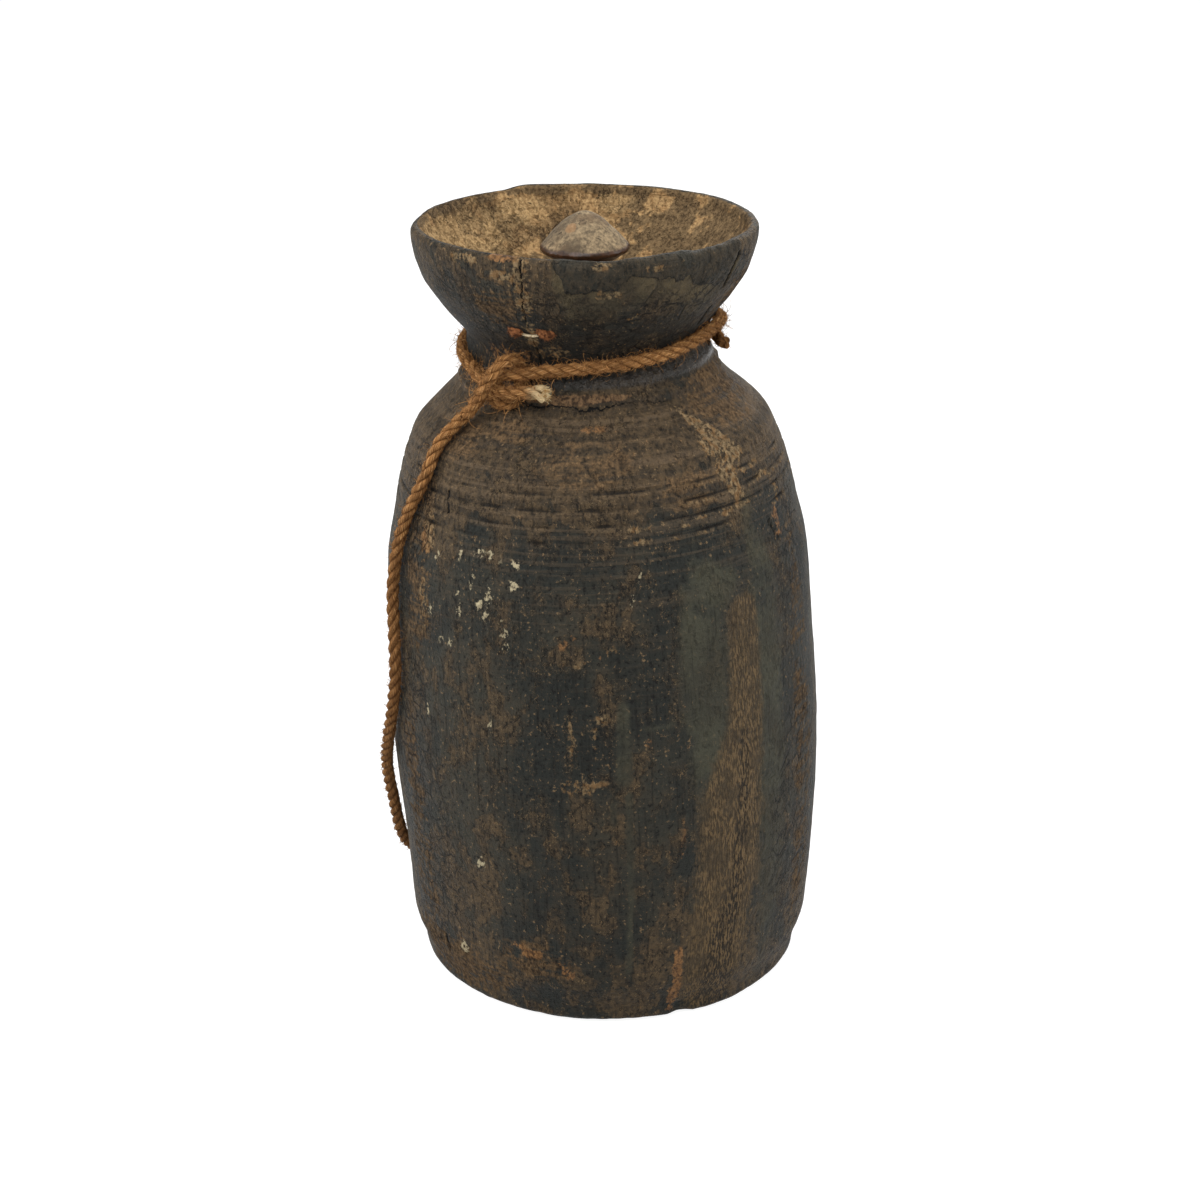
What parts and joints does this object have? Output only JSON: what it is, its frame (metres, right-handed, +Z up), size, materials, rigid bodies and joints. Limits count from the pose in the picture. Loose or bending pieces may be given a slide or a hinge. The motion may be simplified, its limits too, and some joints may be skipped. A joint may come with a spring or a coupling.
{
  "type": "wooden pot",
  "caption": "Carved wooden storage pot with rounded shoulders, a flared funnel mouth, a lift-out knob stopper, a stitched crack and a jute rope tied round the neck as a carrying loop.",
  "frame": {"origin": "on the floor under the middle of the belly", "axes": "+Z up along the pot's height, -Y towards the front, +X to the right seen from the front"},
  "size_m": [0.1864, 0.1862, 0.3233],
  "materials": {
    "pot_wood": "dark worn patina, grey-brown, satin",
    "stopper_wood": "dusty dry wood with a dark polished edge",
    "stitch_packing": "rust-stained packed fibre",
    "stitch_metal": "dull worn wire",
    "jute": "twisted hairy jute"
  },
  "bodies": {
    "pot": {"pot_body": "pot_wood", "stitch_peg_left": "stitch_packing", "stitch_peg_right": "stitch_packing", "stitch_wire": "stitch_metal", "neck_rope": "jute", "carry_loop": "jute"},
    "stopper": {"stopper": "stopper_wood"}
  },
  "joints": [
    {"name": "stopper_lift", "type": "slide", "parent": "pot", "child": "stopper", "axis": [0, 0, 1], "range_m": [0, 0.06]}
  ]
}
